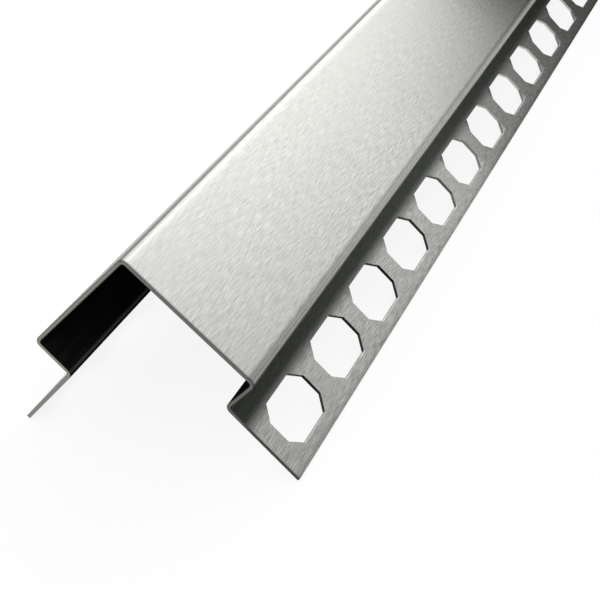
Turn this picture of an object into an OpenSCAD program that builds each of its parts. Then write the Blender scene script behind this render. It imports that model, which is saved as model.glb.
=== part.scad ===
// Outside-corner tile trim: one strip of perforated sheet steel, folded to a mirrored section
// and cut to length. It lies ridge up on the free edges of its two flanges, along Y.

/* [Section] */
// Width of each visible face, from the sharp outer corner to the tile side of its step
face_w = 40; // [25:0.5:60]
// Depth of each step, from the visible face down to the tile side of the flange
step_d = 11; // [6:0.1:22.5]
// Width of each flange, from the tile side of its step to the free edge
flange_w = 22.7; // [21:0.1:40]
// Thickness of the sheet
sheet_t = 1; // [0.6:0.1:1.5]
// Inside radius of every bend
bend_r = 0.8; // [0.4:0.1:2]
// Angle between the two visible faces, a little open because the fold springs back
corner_angle = 92.5; // [88:0.5:100]
// Angle by which each flange leans away from the plane of its face, towards the wall
flange_lean = 2.5; // [0:0.5:6]

/* [Stock] */
// Length that the stock is cut to
stock_l = 1000; // [250:50:3000]

/* [Perforation] */
// Size of each hole across the flange
hole_w = 12.7; // [9:0.1:16]
// Size of each hole along the stock
hole_l = 18.8; // [9:0.1:40]
// Length along each side that is cut off at a hole's four corners
hole_corner = 3.4; // [1:0.1:4]
// Rib left between one hole and the next
rib_w = 6.7; // [4:0.1:20]
// Strip left between the holes and the free edge of the flange
edge_strip = 3.7; // [2:0.1:5]
// Plain sheet between the first cut end and the first hole
end_strip = 5.7; // [2:0.1:20]

/* [Hidden] */
$fn = 64;
outer_r = bend_r + sheet_t;
right_angle = 90;

// Slope of each visible face below level when the ridge is up
face_slope = right_angle - corner_angle / 2;
// Lengths that the bends take from the sharp corners: the ridge, and the foot of a step
corner_set = outer_r / tan(corner_angle / 2);
foot_set = bend_r * tan((right_angle - flange_lean) / 2);

// Flat stretches between the bends
face_flat = face_w - corner_set - outer_r;
step_flat = step_d - outer_r - foot_set;
flange_flat = flange_w - foot_set;

// Centre of the bend between a step and its flange, seen from the sharp outer corner
foot_x = face_w + bend_r;
foot_y = foot_set - step_d;

// Underside of a flange's free edge, which the trim lies on, and the height it gives the corner
edge_x = foot_x + flange_flat * cos(flange_lean) - outer_r * sin(flange_lean);
edge_y = foot_y - flange_flat * sin(flange_lean) - outer_r * cos(flange_lean);
corner_h = edge_x * sin(face_slope) - edge_y * cos(face_slope);

// Holes, counted from the first cut end and placed in the flange's own frame
hole_pitch = hole_l + rib_w;
hole_count = floor((stock_l - 2 * end_strip + rib_w) / hole_pitch);
hole_x = flange_flat - edge_strip - hole_w / 2;
hole_y = -bend_r - sheet_t / 2;
punch_h = 3 * sheet_t;

// Side of a square that is larger than the whole section
section_reach = 2 * (face_w + step_d + flange_w);

// Frame of the bend between a face and its step, with its origin at the bend's centre
module at_head() {
    translate([face_w - outer_r, -outer_r]) children();
}

// Frame of the bend between a step and its flange, with its origin at the bend's centre
module at_foot() {
    at_head() translate([outer_r + bend_r, -step_flat]) children();
}

// The same frame, turned so that the flange runs along +X
module along_flange() {
    at_foot() rotate(-flange_lean) children();
}

// Everything under a face, out to its step, once the outside is moved in by the inset
module under_face(inset) {
    rounding = outer_r - inset;
    depth = section_reach + inset;
    at_head() {
        translate([-face_flat, 0]) circle(r = rounding);
        circle(r = rounding);
        translate([-face_flat, -depth]) square([face_flat, depth + rounding]);
        translate([-face_flat, -depth]) square([face_flat + rounding, depth]);
    }
}

// Everything below the foot of a step, out to the free edge of its flange
module under_foot(inset) {
    depth = section_reach + inset;
    along_flange() translate([-depth, -depth]) square([depth + flange_flat + inset, depth]);
}

// Space that a tile takes in front of the step and the flange, widened by the inset
module tile_space(inset) {
    rounding = bend_r + inset;
    at_foot() circle(r = rounding);
    at_foot() translate([-rounding, 0]) square(section_reach);
    along_flange() translate([0, -rounding]) square(section_reach);
}

// Everything behind the visible side, moved in by the inset
module behind(inset) {
    difference() {
        union() {
            under_face(inset);
            under_foot(inset);
        }
        tile_space(inset);
    }
}

// Face, step and flange on one side, with the face level and the sharp outer corner at the origin
module half_section() {
    difference() {
        behind(0);
        behind(sheet_t);
    }
}

// What is drawn on the right of the ridge, and its mirror image on the left
module both_sides() {
    children();
    mirror([1, 0, 0]) children();
}

// Whole section with the ridge up: each half is cut off square at the ridge plane
module section() {
    both_sides()
        intersection() {
            rotate(-face_slope) half_section();
            translate([0, -section_reach / 2]) square(section_reach);
        }
}

// Outline of one punched hole: a rectangle with its four corners cut off
module hole_outline() {
    side = hole_w / 2;
    end = hole_l / 2;
    polygon([
        [side, end - hole_corner],
        [side - hole_corner, end],
        [hole_corner - side, end],
        [-side, end - hole_corner],
        [-side, hole_corner - end],
        [hole_corner - side, -end],
        [side - hole_corner, -end],
        [side, hole_corner - end]
    ]);
}

// Row of punches through one flange, the first one nearest to the end at zero
module hole_row() {
    for (i = [0 : hole_count - 1])
        translate([hole_x, hole_y, end_strip + hole_l / 2 + i * hole_pitch])
            rotate([right_angle, 0, 0])
                linear_extrude(height = punch_h, center = true) hole_outline();
}

// Perforated strip after folding, standing on its first end
module folded_strip() {
    difference() {
        linear_extrude(height = stock_l) section();
        both_sides() rotate(-face_slope) along_flange() hole_row();
    }
}

// Trim as it lies, ridge up, with the first end at -Y
module trim_profile() {
    color([0.78, 0.78, 0.76])
        translate([0, -stock_l / 2, corner_h])
            rotate([right_angle, 0, 2 * right_angle]) folded_strip();
}

trim_profile();
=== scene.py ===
import math

import bmesh
import bpy
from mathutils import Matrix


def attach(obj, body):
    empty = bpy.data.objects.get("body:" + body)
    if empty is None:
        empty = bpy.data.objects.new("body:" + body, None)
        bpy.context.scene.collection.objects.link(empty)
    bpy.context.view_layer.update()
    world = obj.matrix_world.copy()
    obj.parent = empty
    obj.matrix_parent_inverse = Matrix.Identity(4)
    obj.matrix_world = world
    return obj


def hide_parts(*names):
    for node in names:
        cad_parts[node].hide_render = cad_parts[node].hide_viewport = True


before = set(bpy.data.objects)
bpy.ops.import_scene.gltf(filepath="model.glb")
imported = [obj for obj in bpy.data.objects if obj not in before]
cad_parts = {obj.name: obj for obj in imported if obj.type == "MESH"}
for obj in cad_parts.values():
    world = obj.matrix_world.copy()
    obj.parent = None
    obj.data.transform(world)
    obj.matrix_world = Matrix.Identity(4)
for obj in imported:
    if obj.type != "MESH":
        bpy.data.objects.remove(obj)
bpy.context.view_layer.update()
scene = bpy.context.scene
scene.view_settings.view_transform = "Standard"
print("frame loaded:", sorted(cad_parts))

mm = 0.001
noiseLow = 0.3  # nearly all of a noise lies between these two
noiseHigh = 0.7
noiseRoughness = 0.6
mixA, mixB, mixResult = 6, 7, 2  # colour sockets of the mix node, where a name stands for several


# small helpers for node trees
def newMaterial(name):
    material = bpy.data.materials.new(name)
    material.use_nodes = True
    material.node_tree.nodes.clear()
    return material, material.node_tree


def addNode(tree, kind, inputs=None, **settings):
    node = tree.nodes.new(kind)
    for key, value in settings.items():
        setattr(node, key, value)
    for key, value in (inputs or {}).items():
        if isinstance(value, bpy.types.NodeSocket):
            tree.links.new(value, node.inputs[key])
        else:
            node.inputs[key].default_value = value
    return node


def mathNode(tree, operation, *values):
    return addNode(tree, "ShaderNodeMath", dict(enumerate(values)), operation=operation).outputs[0]


def mapBand(tree, value, low, high, fromValue, toValue, blend="LINEAR"):
    band = addNode(tree, "ShaderNodeMapRange", {
        "Value": value, "From Min": low, "From Max": high, "To Min": fromValue, "To Max": toValue,
    }, interpolation_type=blend)
    return band.outputs["Result"]


# the same for a band given in mm
def mapSheet(tree, value, low, high, fromValue, toValue, blend="LINEAR"):
    return mapBand(tree, value, low * mm, high * mm, fromValue, toValue, blend)


def mapNoise(tree, noise, fromValue, toValue):
    return mapBand(tree, noise, noiseLow, noiseHigh, fromValue, toValue)


def distanceFrom(tree, value, place):
    return mathNode(tree, "ABSOLUTE", mathNode(tree, "SUBTRACT", value, place * mm))


def noiseNode(tree, place, grain):
    spread = addNode(tree, "ShaderNodeMapping", {"Vector": place, "Scale": grain["scale"]}).outputs["Vector"]
    noise = addNode(tree, "ShaderNodeTexNoise", {
        "Vector": spread, "Scale": 1.0, "Detail": grain["detail"], "Roughness": noiseRoughness})
    return noise.outputs["Fac"]


# stops are pairs of place and colour, places in the same unit as length
def rampNode(tree, value, length, stops, blend="EASE"):
    part = mathNode(tree, "DIVIDE", value, length)
    ramp = addNode(tree, "ShaderNodeValToRGB", {"Fac": part})
    ramp.color_ramp.interpolation = blend
    elements = ramp.color_ramp.elements
    while len(elements) < len(stops):
        elements.new(1.0)
    for element, (place, colour) in zip(elements, stops):
        element.position = place / length
        element.color = (*colour, 1.0)
    return ramp.outputs["Color"]


def mixColour(tree, factor, a, b):
    mix = addNode(tree, "ShaderNodeMix", {"Factor": factor, mixA: a, mixB: b}, data_type="RGBA")
    return mix.outputs[mixResult]


def scaleColour(tree, colour, share):
    return addNode(tree, "ShaderNodeVectorMath", {0: colour, "Scale": share}, operation="SCALE").outputs[0]


def tinted(colour, share):
    return tuple(c * share for c in colour)


# place on the flat sheet: distance across from the ridge, signed or not, and along from the first end
def sheetPlace(tree):
    sheetMap = addNode(tree, "ShaderNodeUVMap", uv_map="sheet").outputs["UV"]
    place = addNode(tree, "ShaderNodeSeparateXYZ", {"Vector": sheetMap}).outputs
    across = mathNode(tree, "ABSOLUTE", place["X"])
    return {"map": sheetMap, "signed": place["X"], "across": across, "along": place["Y"]}


def closeSurface(tree, height, bump, inputs):
    relief = addNode(tree, "ShaderNodeBump", {
        "Strength": bump["strength"], "Distance": bump["depth"] * mm, "Height": height})
    shader = addNode(tree, "ShaderNodeBsdfPrincipled", {**inputs, "Normal": relief.outputs["Normal"]})
    addNode(tree, "ShaderNodeOutputMaterial", {"Surface": shader.outputs["BSDF"]})


# folded sheet with the same sizes as the solid, in mm and degrees
trim = {
    "faceWidth": 40.0, "stepDepth": 11.0, "flangeWidth": 22.7, "sheet": 1.0, "bendRadius": 0.8,
    "cornerAngle": 92.5, "flangeLean": 2.5, "length": 1000.0,
    "holeWidth": 12.7, "holeLength": 18.8, "holeCorner": 3.4, "rib": 6.7, "edgeStrip": 3.7, "endStrip": 5.7,
    "bendParts": 12, "rolledRim": 0.22, "rolledParts": 3, "roundProfile": 0.5, "brokenEdge": 0.05,
    "crispAngle": 60, "sharpAngle": 40,  # edges over the first are broken, over the second shaded sharp
}
outerRadius = trim["bendRadius"] + trim["sheet"]
middleRadius = trim["bendRadius"] + trim["sheet"] / 2
faceSlope = 90 - trim["cornerAngle"] / 2
footTurn = 90 - trim["flangeLean"]
cornerSet = outerRadius / math.tan(math.radians(trim["cornerAngle"] / 2))
footSet = trim["bendRadius"] * math.tan(math.radians(footTurn / 2))
faceFlat = trim["faceWidth"] - cornerSet - outerRadius
stepFlat = trim["stepDepth"] - outerRadius - footSet
flangeFlat = trim["flangeWidth"] - footSet

# developed distance from the ridge to the start of each stretch, along the middle of the sheet
headAt = middleRadius * math.radians(faceSlope) + faceFlat
stepAt = headAt + middleRadius * math.radians(90)
footAt = stepAt + stepFlat
flangeAt = footAt + middleRadius * math.radians(footTurn)
edgeAt = flangeAt + flangeFlat


def onArc(centre, angle, radius):
    return (centre[0] + math.cos(angle) * radius, centre[1] + math.sin(angle) * radius)


# stations across the sheet: place on the visible side, place on the hidden side, developed distance
def arcStations(centre, start, turn, visibleRadius, hiddenRadius, distance):
    stations = []
    parts = max(2, round(trim["bendParts"] * abs(turn) / 90))
    length = middleRadius * math.radians(abs(turn))
    for part in range(parts + 1):
        angle = math.radians(start + turn * part / parts)
        visible = onArc(centre, angle, visibleRadius)
        hidden = onArc(centre, angle, hiddenRadius)
        stations.append((visible, hidden, distance + length * part / parts))
    return stations


# one half with its face level and the sharp corner at the origin, from the ridge to the free edge
def halfStations():
    inner, lean = trim["bendRadius"], math.radians(trim["flangeLean"])
    ridge = arcStations((cornerSet, -outerRadius), 90 + faceSlope, -faceSlope, outerRadius, inner, 0)
    head = arcStations((trim["faceWidth"] - outerRadius, -outerRadius), 90, -90, outerRadius, inner, headAt)
    footCentre = (trim["faceWidth"] + inner, footSet - trim["stepDepth"])
    foot = arcStations(footCentre, 180, footTurn, inner, outerRadius, footAt)
    holeEnd = flangeFlat - trim["edgeStrip"]
    holeStart = holeEnd - trim["holeWidth"]
    runs = (holeStart, holeStart + trim["holeCorner"], holeEnd - trim["holeCorner"], holeEnd, flangeFlat)
    way = (math.cos(lean), -math.sin(lean))
    flange = []
    for run in runs:
        visible, hidden = ((p[0] + way[0] * run, p[1] + way[1] * run) for p in foot[-1][:2])
        flange.append((visible, hidden, flangeAt + run))
    return ridge + head + foot + flange


def ridgeUp(point):
    slope = math.radians(faceSlope)
    return (point[0] * math.cos(slope) + point[1] * math.sin(slope),
            point[1] * math.cos(slope) - point[0] * math.sin(slope))


# whole section with its ridge up and its lowest edges on the floor
def wholeSection():
    half = [(ridgeUp(visible), ridgeUp(hidden), distance) for visible, hidden, distance in halfStations()]
    lowest = min(min(visible[1], hidden[1]) for visible, hidden, distance in half)
    half = [((v[0], v[1] - lowest), (h[0], h[1] - lowest), distance) for v, h, distance in half]
    other = [((-v[0], v[1]), (-h[0], h[1]), -distance) for v, h, distance in reversed(half[1:])]
    return other + half


# places along the stock: its ends and the four lines of each hole
def alongStations():
    pitch = trim["holeLength"] + trim["rib"]
    count = math.floor((trim["length"] - 2 * trim["endStrip"] + trim["rib"]) / pitch)
    places = [0.0]
    for i in range(count):
        first = trim["endStrip"] + i * pitch
        last = first + trim["holeLength"]
        places += [first, first + trim["holeCorner"], last - trim["holeCorner"], last]
    return places + [trim["length"]]


section = wholeSection()
alongAt = alongStations()
holeColumn = 2  # grid column through the middle of the holes, counted from a free edge
holeMiddles = (holeColumn, len(section) - 2 - holeColumn)
rowsPerHole = 4  # grid rows of one hole and the rib after it
firstCuts, openRow, lastCuts, ribRow = range(rowsPerHole)
brushed, hiddenSide, sheared, punchedEnd, punchedSide = range(5)


# corners of one grid cell: none in the middle of a hole, three where a hole's corner is cut off
def cellCorners(k, j):
    corners = [(k, j), (k + 1, j), (k + 1, j + 1), (k, j + 1)]
    middle = next((m for m in holeMiddles if abs(k - m) <= 1), None)
    row = (j - 1) % rowsPerHole
    if middle is None or row == ribRow:
        return corners
    if k == middle or row == openRow:
        return []
    towardsHole = (k + (k < middle), j + (row == firstCuts))
    return [corner for corner in corners if corner != towardsHole]


# both sides of the sheet as grids, with walls round it and its holes; gives the edges along the stock
def foldSheet(mesh):
    sheetMap = mesh.loops.layers.uv.new("sheet")
    depthMap = mesh.loops.layers.uv.new("depth")
    sides = (0, 1)
    grid = [[[mesh.verts.new((station[side][0] * mm, (y - trim["length"] / 2) * mm, station[side][1] * mm))
              for y in alongAt] for station in section] for side in sides]

    def addFace(places, finish):
        face = mesh.faces.new([grid[side][k][j] for side, k, j in places])
        face.material_index = finish
        for loop, (side, k, j) in zip(face.loops, places):
            loop[sheetMap].uv = (section[k][2] * mm, alongAt[j] * mm)
            loop[depthMap].uv = ((section[k][2] + alongAt[j]) * mm, side * trim["sheet"] * mm)

    outline = {}
    for k in range(len(section) - 1):
        for j in range(len(alongAt) - 1):
            corners = cellCorners(k, j)
            if not corners:
                continue
            addFace([(0, *corner) for corner in corners], brushed)
            addFace([(1, *corner) for corner in reversed(corners)], hiddenSide)
            for n, corner in enumerate(corners):
                following = corners[(n + 1) % len(corners)]
                if (following, corner) in outline:
                    del outline[(following, corner)]
                else:
                    outline[(corner, following)] = True
    # the outline that is left runs round the sheet and round each hole
    lengthwaysEdges = []
    for a, b in outline:
        lengthways = a[0] == b[0]
        atEnd = a[1] == b[1] and a[1] in (0, len(alongAt) - 1)
        slit = lengthways and a[0] in (0, len(section) - 1)
        if atEnd or slit:
            finish = sheared
        else:
            finish = punchedSide if lengthways else punchedEnd
        addFace([(0, *b), (0, *a), (1, *a), (1, *b)], finish)
        if lengthways:
            lengthwaysEdges.append(mesh.edges.get((grid[0][a[0]][a[1]], grid[0][b[0]][b[1]])))
    for vert in [v for v in mesh.verts if not v.link_faces]:
        mesh.verts.remove(vert)
    mesh.normal_update()
    return lengthwaysEdges


def buildTrim():
    mesh = bmesh.new()
    # edges along the stock are rolled over on the visible side, the rest is barely broken
    rolled = foldSheet(mesh)
    bmesh.ops.bevel(mesh, geom=rolled, offset=trim["rolledRim"] * mm, segments=trim["rolledParts"],
                    profile=trim["roundProfile"], affect="EDGES", clamp_overlap=False, material=brushed)
    crispAngle = math.radians(trim["crispAngle"])
    crisp = [e for e in mesh.edges if e.is_manifold and e.calc_face_angle() > crispAngle]
    bmesh.ops.bevel(mesh, geom=crisp, offset=trim["brokenEdge"] * mm, segments=1,
                    affect="EDGES", clamp_overlap=False)
    for face in mesh.faces:
        face.smooth = True
    data = bpy.data.meshes.new("foldedTrim")
    mesh.to_mesh(data)
    mesh.free()
    data.set_sharp_from_angle(angle=math.radians(trim["sharpAngle"]))
    piece = bpy.data.objects.new("foldedTrim", data)
    scene.collection.objects.link(piece)
    evenShading = piece.modifiers.new("evenShading", "WEIGHTED_NORMAL")  # flats stay flat beside the bends
    evenShading.mode = "FACE_AREA"
    evenShading.keep_sharp = True
    return piece


foldedTrim = buildTrim()
print("trim built:", len(foldedTrim.data.polygons), "faces")

# visible side: steel brushed along the stock, with painted shade in the corner at the foot of each step and
# on the head bend, and a painted highlight beside the ridge
# places and bands are in mm across the sheet or along it, shares are of the steel's or the recess's tone
brushedFinishAndShade = {
    # the recess tone is painted shade for the step and the corner at its foot
    "steel": (0.672, 0.68, 0.645), "recessShade": (0.055, 0.062, 0.053), "grazing": (0.4, 0.4, 0.4, 1.0),
    "smoothest": 0.15, "roughest": 0.2, "anisotropy": 1.0, "bump": {"strength": 0.25, "depth": 0.003},
    # grain, as a sum of three noises that is stronger in some patches
    "streaks": {"scale": (3200, 230, 1), "detail": 3.0, "share": 0.55},
    "hairs": {"scale": (6400, 300, 1), "detail": 2.0, "share": 0.4},
    "clouds": {"scale": (130, 45, 1), "detail": 4.0, "share": 0.05},
    "patches": {"scale": (70, 16, 1), "detail": 2.0, "low": 0.35, "high": 0.65, "weak": 0.75, "strong": 1.25},
    "ridgeContrast": 0.23, "edgeContrast": 0.55,
    "calm": {"from": 80, "to": 160, "share": 0.62},  # along the stock
    # painted shade and highlight across the sheet: shade on the head bend and in the step's corner, lighter
    # further along the stock, where the head bend gets a slight painted highlight
    "ridge": {"from": 0.6, "at": 1.0, "to": 2.3, "share": 1.13},  # painted highlight beside it
    "bend": {"from": -1.6, "beside": -0.2, "top": 0.2, "low": 0.7, "to": 1.4},  # painted shade on the head bend, places from its start
    "nearBendShade": {"beside": 0.5, "top": 0.8, "low": 0.42, "step": 0.42, "corner": 0.85},
    "farBendShade": {"beside": 0.52, "top": 1.05, "low": 1.16, "step": 1.25, "corner": 1.3},
    "nearAt": 10, "farAt": 200,
    "rubbed": {"at": 0.4, "from": 0.5, "to": 1.2, "contrast": 0.3, "roughness": 0.16},  # on the head bend
    "stepCornerShade": {"from": 3.25, "to": 8.75, "metal": 0.5},  # painted shade on the flange beside the step, with less metal
    "freeEdgeShade": {"band": 1.8, "share": 0.72},  # painted shade along the free edge of the flange
    "cut": {"share": 0.2, "face": 0.7, "flange": 0.12},  # painted shade: a dark line at the cut ends
}


# base tone from the ridge to the free edge, with painted highlight and painted shade
def toneAcross(tree, across, shares):
    look = brushedFinishAndShade
    steel, ridge, bend, stepCornerShade, freeEdgeShade = (look[name] for name in ("steel", "ridge", "bend", "stepCornerShade", "freeEdgeShade"))
    step = tinted(look["recessShade"], shares["step"])
    corner = tinted(look["recessShade"], shares["corner"])
    # painted highlight beside the ridge, painted shade on the head bend, the step, its corner and the free
    # edge
    stops = [
        (0, steel), (ridge["from"], steel), (ridge["at"], tinted(steel, ridge["share"])),
        (ridge["to"], steel), (headAt + bend["from"], steel),
        *((headAt + bend[name], tinted(steel, shares[name])) for name in ("beside", "top", "low")),
        (headAt + bend["to"], step), (footAt, step), (flangeAt, corner),
        (flangeAt + stepCornerShade["from"], corner), (flangeAt + stepCornerShade["to"], steel),
        (edgeAt - freeEdgeShade["band"], steel), (edgeAt, tinted(steel, freeEdgeShade["share"])),
    ]
    return rampNode(tree, across, edgeAt * mm, [(place * mm, colour) for place, colour in stops])


def brushedGrain(tree, sheetMap):
    noises = {}
    grain = 0.0
    for name in ("streaks", "hairs", "clouds"):
        noises[name] = noiseNode(tree, sheetMap, brushedFinishAndShade[name])
        grain = mathNode(tree, "MULTIPLY_ADD", noises[name], brushedFinishAndShade[name]["share"], grain)
    return grain, noises["hairs"]


# swing of the tone with the grain: faint beside the ridge and on the head bend, calmer further along
def grainTone(tree, sheet, grain, fromBend):
    look = brushedFinishAndShade
    patches, rubbed, calm = look["patches"], look["rubbed"], look["calm"]
    patchNoise = noiseNode(tree, sheet["map"], patches)
    swing = mapBand(tree, patchNoise, patches["low"], patches["high"], patches["weak"], patches["strong"])
    swing = mathNode(tree, "MULTIPLY", swing, mapNoise(tree, grain, -1.0, 1.0))
    contrast = mapSheet(tree, sheet["across"], 0.0, edgeAt, look["ridgeContrast"], look["edgeContrast"])
    onBend = mapSheet(tree, fromBend, rubbed["from"], rubbed["to"], rubbed["contrast"], 1.0)
    contrast = mathNode(tree, "MULTIPLY", contrast, onBend)
    furtherOn = mapSheet(tree, sheet["along"], calm["from"], calm["to"], 1.0, calm["share"])
    contrast = mathNode(tree, "MULTIPLY", contrast, furtherOn)
    return mathNode(tree, "MULTIPLY_ADD", swing, contrast, 1.0)


def makeBrushed():
    look = brushedFinishAndShade
    rubbed, stepCornerShade, cut = look["rubbed"], look["stepCornerShade"], look["cut"]
    material, tree = newMaterial("brushedSteelAndPaintedShade")
    sheet = sheetPlace(tree)
    across, along = sheet["across"], sheet["along"]
    fromBend = distanceFrom(tree, across, headAt + rubbed["at"])
    grain, hairs = brushedGrain(tree, sheet["map"])
    tone = grainTone(tree, sheet, grain, fromBend)
    # painted shade on the head bend and in the corner, one set near the end and one further along
    further = mapSheet(tree, along, look["nearAt"], look["farAt"], 0.0, 1.0)
    near = toneAcross(tree, across, look["nearBendShade"])
    far = toneAcross(tree, across, look["farBendShade"])
    base = mixColour(tree, further, near, far)
    fromFarEnd = mathNode(tree, "SUBTRACT", trim["length"] * mm, along)
    fromEnd = mathNode(tree, "MINIMUM", along, fromFarEnd)
    # painted shade: darker close to each cut end
    endShadeBand = mapSheet(tree, across, headAt, flangeAt, cut["face"] * mm, cut["flange"] * mm)
    tone = mathNode(tree, "MULTIPLY", tone, mapBand(tree, fromEnd, 0.0, endShadeBand, cut["share"], 1.0))
    roughness = mapNoise(tree, hairs, look["smoothest"], look["roughest"])
    onBend = mapSheet(tree, fromBend, rubbed["from"], rubbed["to"], rubbed["roughness"], 0.0)
    roughness = mathNode(tree, "MULTIPLY_ADD", onBend, further, roughness)
    # painted shade: less metal in the step's corner
    intoRecess = mapSheet(tree, across, footAt, flangeAt, 1.0, stepCornerShade["metal"])
    outOfRecess = mapSheet(tree, across, flangeAt + stepCornerShade["from"], flangeAt + stepCornerShade["to"], stepCornerShade["metal"], 1.0)
    tangent = addNode(tree, "ShaderNodeTangent", direction_type="UV_MAP", uv_map="sheet").outputs["Tangent"]
    closeSurface(tree, grain, look["bump"], {
        "Base Color": scaleColour(tree, base, tone),
        "Metallic": mathNode(tree, "MAXIMUM", intoRecess, outOfRecess), "Roughness": roughness,
        "Anisotropic": look["anisotropy"], "Specular Tint": look["grazing"], "Tangent": tangent})
    return material


# hidden side: near-black painted shade with a faint cloudy tone, and a painted highlight on the outside of
# each foot bend
hiddenShadeAndFinish = {
    # painted shade: near-black tones and no gloss stand for the shade inside the fold
    "dark": (0.009, 0.0095, 0.009), "light": (0.019, 0.019, 0.018),
    "smoothest": 0.47, "roughest": 0.63, "gloss": 0.0,
    "clouds": {"scale": (500, 60, 1), "detail": 4.0}, "bump": {"strength": 0.2, "depth": 0.01},
    # painted highlight: a band this many times lighter along the outside of each foot bend
    "highlightAt": 0.64, "highlightBand": 0.5, "highlightShare": 9.0,
}


def makeHidden():
    look = hiddenShadeAndFinish
    material, tree = newMaterial("paintedShadeBackSide")
    sheet = sheetPlace(tree)
    clouds = noiseNode(tree, sheet["map"], look["clouds"])
    base = rampNode(tree, clouds, 1.0, [(noiseLow, look["dark"]), (noiseHigh, look["light"])])
    # painted highlight along the outside of the foot bend
    fromHighlight = distanceFrom(tree, sheet["across"], footAt + look["highlightAt"])
    paintedHighlight = mapSheet(tree, fromHighlight, 0.0, look["highlightBand"], look["highlightShare"], 1.0, "SMOOTHSTEP")
    closeSurface(tree, clouds, look["bump"], {
        "Base Color": scaleColour(tree, base, paintedHighlight), "Metallic": 0.0,
        "Roughness": mapNoise(tree, clouds, look["smoothest"], look["roughest"]),
        "Specular IOR Level": look["gloss"]})
    return material


# grit of cut metal, on the ends, the slit edges and the hole walls
cutGrit = {"scale": (2400, 9000, 1), "detail": 3.0, "dark": 0.8, "light": 1.2,
           "bump": {"strength": 0.3, "depth": 0.02}}


# gives the grit, its change of tone, and the depth below the visible side, which wavers by wave mm
def cutGrain(tree, wave):
    depthMap = addNode(tree, "ShaderNodeUVMap", uv_map="depth").outputs["UV"]
    depth = addNode(tree, "ShaderNodeSeparateXYZ", {"Vector": depthMap}).outputs["Y"]
    grit = noiseNode(tree, depthMap, cutGrit)
    wavy = mathNode(tree, "ADD", depth, mapNoise(tree, grit, -wave * mm, wave * mm))
    return grit, mapNoise(tree, grit, cutGrit["dark"], cutGrit["light"]), wavy


# sheared ends and slit edges: tones by place across the sheet, from one free edge to the other
# the faces and steps have a darker line below the visible side and along the hidden side
shearedFinish = {
    "tones": [
        (-edgeAt, (0.25, 0.25, 0.235)), (-flangeAt, (0.25, 0.25, 0.235)),
        (-footAt, (0.30, 0.285, 0.23)), (-stepAt, (0.30, 0.285, 0.23)),
        (-headAt, (0.26, 0.255, 0.22)), (-4.0, (0.26, 0.255, 0.22)),
        (4.0, (0.168, 0.174, 0.164)), (headAt, (0.166, 0.17, 0.162)), (footAt, (0.149, 0.151, 0.139)),
        (flangeAt + 7.0, (0.066, 0.068, 0.062)), (edgeAt, (0.066, 0.068, 0.062)),
    ],
    "lineShare": 0.45, "lineDepth": 0.16, "backShare": 0.3, "backDepth": 0.78, "blur": 0.1, "wave": 0.05,
    "roughness": 0.42,
}


def makeSheared():
    look = shearedFinish
    material, tree = newMaterial("shearedEdge")
    sheet = sheetPlace(tree)
    grit, gritTone, depth = cutGrain(tree, look["wave"])
    stops = [((place + edgeAt) * mm, colour) for place, colour in look["tones"]]
    fromEdge = mathNode(tree, "ADD", sheet["signed"], edgeAt * mm)
    base = rampNode(tree, fromEdge, 2 * edgeAt * mm, stops, "LINEAR")
    line = mapSheet(tree, depth, look["lineDepth"], look["lineDepth"] + look["blur"], look["lineShare"], 1.0)
    back = mapSheet(tree, depth, look["backDepth"], look["backDepth"] + look["blur"], 1.0, look["backShare"])
    onFlange = mapSheet(tree, sheet["across"], footAt, flangeAt, 0.0, 1.0)
    line = mathNode(tree, "MAXIMUM", line, onFlange)
    back = mathNode(tree, "MAXIMUM", back, onFlange)
    tone = mathNode(tree, "MULTIPLY", gritTone, mathNode(tree, "MULTIPLY", line, back))
    closeSurface(tree, grit, cutGrit["bump"], {
        "Base Color": scaleColour(tree, base, tone), "Metallic": 1.0, "Roughness": look["roughness"]})
    return material


# hole walls: a burnished band under the visible side, torn metal behind it
# their tone changes along the stock as painted shade and light, and the cut corners towards the free edge get
# their own painted light
punchedFinishesAndShade = {
    # the end walls' near-black tones are painted shade
    "punchedEnd": {"burnished": (0.014, 0.014, 0.0135), "torn": (0.020, 0.020, 0.018), "roughness": 0.5,
                   "changeFrom": 90, "changeTo": 225, "firstShare": 0.7, "laterShare": 36,
                   "outerShare": 4.0, "mostShare": 40, "outerMetal": 0.0},
    "punchedSide": {"burnished": (0.78, 0.78, 0.75), "torn": (0.66, 0.66, 0.63), "roughness": 0.35,
                    "changeFrom": 130, "changeTo": 220, "firstShare": 1.0, "laterShare": 0.12,
                    "outerShare": 1.0, "mostShare": 1.0, "outerMetal": 1.0},
}
punchedBands = {"burnishDepth": 0.4, "burnishBlur": 0.15, "wave": 0.08, "outerBlur": 0.2}


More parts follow.
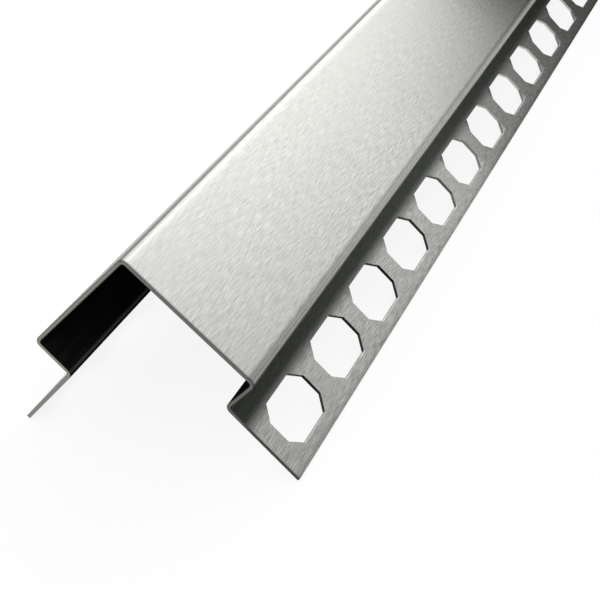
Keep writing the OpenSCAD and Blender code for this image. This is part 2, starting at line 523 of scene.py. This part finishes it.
def makePunched(name):
    look = punchedFinishesAndShade[name]
    bands = punchedBands
    material, tree = newMaterial(name)
    grit, gritTone, depth = cutGrain(tree, bands["wave"])
    stops = [(0, look["burnished"]), (bands["burnishDepth"], look["burnished"]),
             (bands["burnishDepth"] + bands["burnishBlur"], look["torn"]), (trim["sheet"], look["torn"])]
    base = rampNode(tree, depth, trim["sheet"] * mm, [(place * mm, colour) for place, colour in stops])
    sheet = sheetPlace(tree)
    # painted shade and light: the wall tone changes along the stock
    share = mapSheet(tree, sheet["along"], look["changeFrom"], look["changeTo"],
                     look["firstShare"], look["laterShare"], "SMOOTHSTEP")
    # painted light on the cut corners towards the free edge, with no metal on the end walls there
    outerFrom = edgeAt - trim["edgeStrip"] - trim["holeCorner"]
    outerTo = outerFrom + bands["outerBlur"]
    outer = mapSheet(tree, sheet["across"], outerFrom, outerTo, 1.0, look["outerShare"])
    share = mathNode(tree, "MINIMUM", mathNode(tree, "MULTIPLY", share, outer), look["mostShare"])
    tone = mathNode(tree, "MULTIPLY", share, gritTone)
    closeSurface(tree, grit, cutGrit["bump"], {
        "Base Color": scaleColour(tree, base, tone),
        "Metallic": mapSheet(tree, sheet["across"], outerFrom, outerTo, 1.0, look["outerMetal"]),
        "Roughness": look["roughness"]})
    return material


# in the order of the finishes' numbers
finishes = (makeBrushed(), makeHidden(), makeSheared(), makePunched("punchedEnd"), makePunched("punchedSide"))
for material in finishes:
    foldedTrim.data.materials.append(material)
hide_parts("trim_profile")
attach(foldedTrim, "root")
print("finishes set")

# plain white floor that keeps a faint shadow, a hair below the trim
floorLook = {"reach": 40.0, "drop": 0.05, "glow": 0.885, "shaded": 0.18, "bounce": 0.8}


def greyDiffuse(tree, grey):
    return addNode(tree, "ShaderNodeBsdfDiffuse", {"Color": (grey, grey, grey, 1)}).outputs[0]


def makeFloor():
    mesh = bpy.data.meshes.new("floor")
    r = floorLook["reach"]
    mesh.from_pydata([(-r, -r, 0), (r, -r, 0), (r, r, 0), (-r, r, 0)], [], [(0, 1, 2, 3)])
    floor = bpy.data.objects.new("floor", mesh)
    floor.location.z = -floorLook["drop"] * mm
    scene.collection.objects.link(floor)
    material, tree = newMaterial("paleFloor")
    path = addNode(tree, "ShaderNodeLightPath").outputs
    seen = mathNode(tree, "MAXIMUM", path["Is Camera Ray"], path["Is Glossy Ray"])
    seen = mathNode(tree, "MAXIMUM", seen, path["Is Transmission Ray"])
    plain = greyDiffuse(tree, floorLook["bounce"])
    thin = greyDiffuse(tree, floorLook["shaded"])
    emission = addNode(tree, "ShaderNodeEmission", {"Color": (1, 1, 1, 1), "Strength": floorLook["glow"]})
    white = addNode(tree, "ShaderNodeAddShader", {0: thin, 1: emission.outputs[0]}).outputs[0]
    both = addNode(tree, "ShaderNodeMixShader", {0: seen, 1: plain, 2: white}).outputs[0]
    addNode(tree, "ShaderNodeOutputMaterial", {"Surface": both})
    mesh.materials.append(material)


makeFloor()

# room light: one long soft panel overhead along the stock, brightest towards its ends, and dim walls
# tilts are degrees above the horizon seen along the stock, ends are shares of the way towards it,
# and sides are shares of the way towards +X
lighting = {
    "sideGlow": 0.27, "topGlow": 1.42, "sideTilt": 25, "topTilt": 60, "horizonTilt": 8,
    "middleShare": 0.36, "endShare": 1.24, "middleTo": 0.40, "endFrom": 0.90,
    "lowEnd": 0.849, "lowTilt": 30, "highEnd": 0.899, "highTilt": 42, "endBlur": 0.005,
    "farShare": 0.75, "farSide": -0.3, "nearSide": 0.1,
    "wallFoot": 0.05, "wallTop": 0.14, "wallHeight": 0.4,
    "cornerGlow": 0.5, "cornerFrom": 0.72, "cornerTo": 0.90, "cornerSide": -0.3, "cornerRim": -0.1,
}


def makeLight():
    look = lighting
    world = bpy.data.worlds.new("room")
    world.use_nodes = True
    tree = world.node_tree
    tree.nodes.clear()
    around = addNode(tree, "ShaderNodeTexCoord").outputs["Generated"]
    way = addNode(tree, "ShaderNodeSeparateXYZ", {"Vector": around}).outputs
    along = mathNode(tree, "ABSOLUTE", way["Y"])
    tilt = mathNode(tree, "ARCTAN2", way["Z"], mathNode(tree, "ABSOLUTE", way["X"]))
    tilt = mathNode(tree, "DEGREES", tilt)
    # the panel
    glow = mapBand(tree, tilt, look["sideTilt"], look["topTilt"], look["sideGlow"], look["topGlow"],
                   "SMOOTHSTEP")
    share = mapBand(tree, along, look["middleTo"], look["endFrom"], look["middleShare"], look["endShare"],
                    "SMOOTHSTEP")
    side = mapBand(tree, way["X"], look["farSide"], look["nearSide"], look["farShare"], 1.0, "SMOOTHSTEP")
    share = mathNode(tree, "MULTIPLY", share, side)
    end = mapBand(tree, tilt, look["lowTilt"], look["highTilt"], look["lowEnd"], look["highEnd"])
    beyond = mathNode(tree, "SUBTRACT", along, end)
    inLength = mapBand(tree, beyond, -look["endBlur"], look["endBlur"], 1.0, 0.0, "SMOOTHSTEP")
    aboveHorizon = mapBand(tree, tilt, 0.0, look["horizonTilt"], 0.0, 1.0, "SMOOTHSTEP")
    panel = mathNode(tree, "MULTIPLY", mathNode(tree, "MULTIPLY", glow, share),
                     mathNode(tree, "MULTIPLY", inLength, aboveHorizon))
    # the walls, lighter in the corners on one side
    walls = mapBand(tree, way["Z"], 0.0, look["wallHeight"], look["wallFoot"], look["wallTop"], "SMOOTHSTEP")
    corner = mapBand(tree, along, look["cornerFrom"], look["cornerTo"], 0.0, look["cornerGlow"])
    onSide = mapBand(tree, way["X"], look["cornerSide"], look["cornerRim"], 1.0, 0.0)
    walls = mathNode(tree, "ADD", walls, mathNode(tree, "MULTIPLY", corner, onSide))
    strength = mathNode(tree, "ADD", panel, walls)
    room = addNode(tree, "ShaderNodeBackground", {"Color": (1, 1, 1, 1), "Strength": strength})
    addNode(tree, "ShaderNodeOutputWorld", {"Surface": room.outputs[0]})
    scene.world = world


makeLight()

# camera at the photo's place, in mm and degrees, its clipping in metres
photoView = {
    "location": (134.63, -684.557, 185.67), "turn": (56.5585, 4.8096, 23.6292),
    "lens": 73.8558, "sensor": 36.0, "clipStart": 0.01, "clipEnd": 200,
}


def makeCamera():
    data = bpy.data.cameras.new("photoView")
    data.sensor_width = photoView["sensor"]
    data.lens = photoView["lens"]
    data.clip_start = photoView["clipStart"]
    data.clip_end = photoView["clipEnd"]
    camera = bpy.data.objects.new("photoView", data)
    camera.location = [v * mm for v in photoView["location"]]
    camera.rotation_euler = [math.radians(v) for v in photoView["turn"]]
    scene.collection.objects.link(camera)
    scene.camera = camera


makeCamera()
print("stage, light and camera set")
